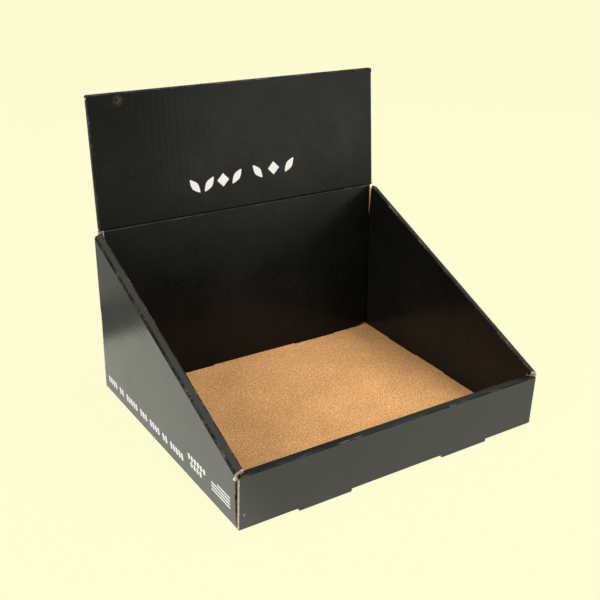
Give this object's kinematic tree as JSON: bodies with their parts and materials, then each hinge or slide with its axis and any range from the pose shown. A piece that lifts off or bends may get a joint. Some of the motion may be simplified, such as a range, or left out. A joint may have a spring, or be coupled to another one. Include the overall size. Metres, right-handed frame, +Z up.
{
  "type": "counter display box",
  "caption": "Open counter display tray with sloping rolled side walls and a tall header card, folded from one blank of corrugated board, black outside and plain kraft inside.",
  "frame": {"origin": "on the resting plane under the middle of the whole box, where the ends of its feet and rear tabs stand", "axes": "+X to the right along the front wall, +Y from the front wall to the header card, +Z up"},
  "size_m": [0.3138, 0.2741, 0.276],
  "materials": {
    "board": "satin"
  },
  "bodies": {
    "root": {"display_box": "board"}
  },
  "joints": []
}
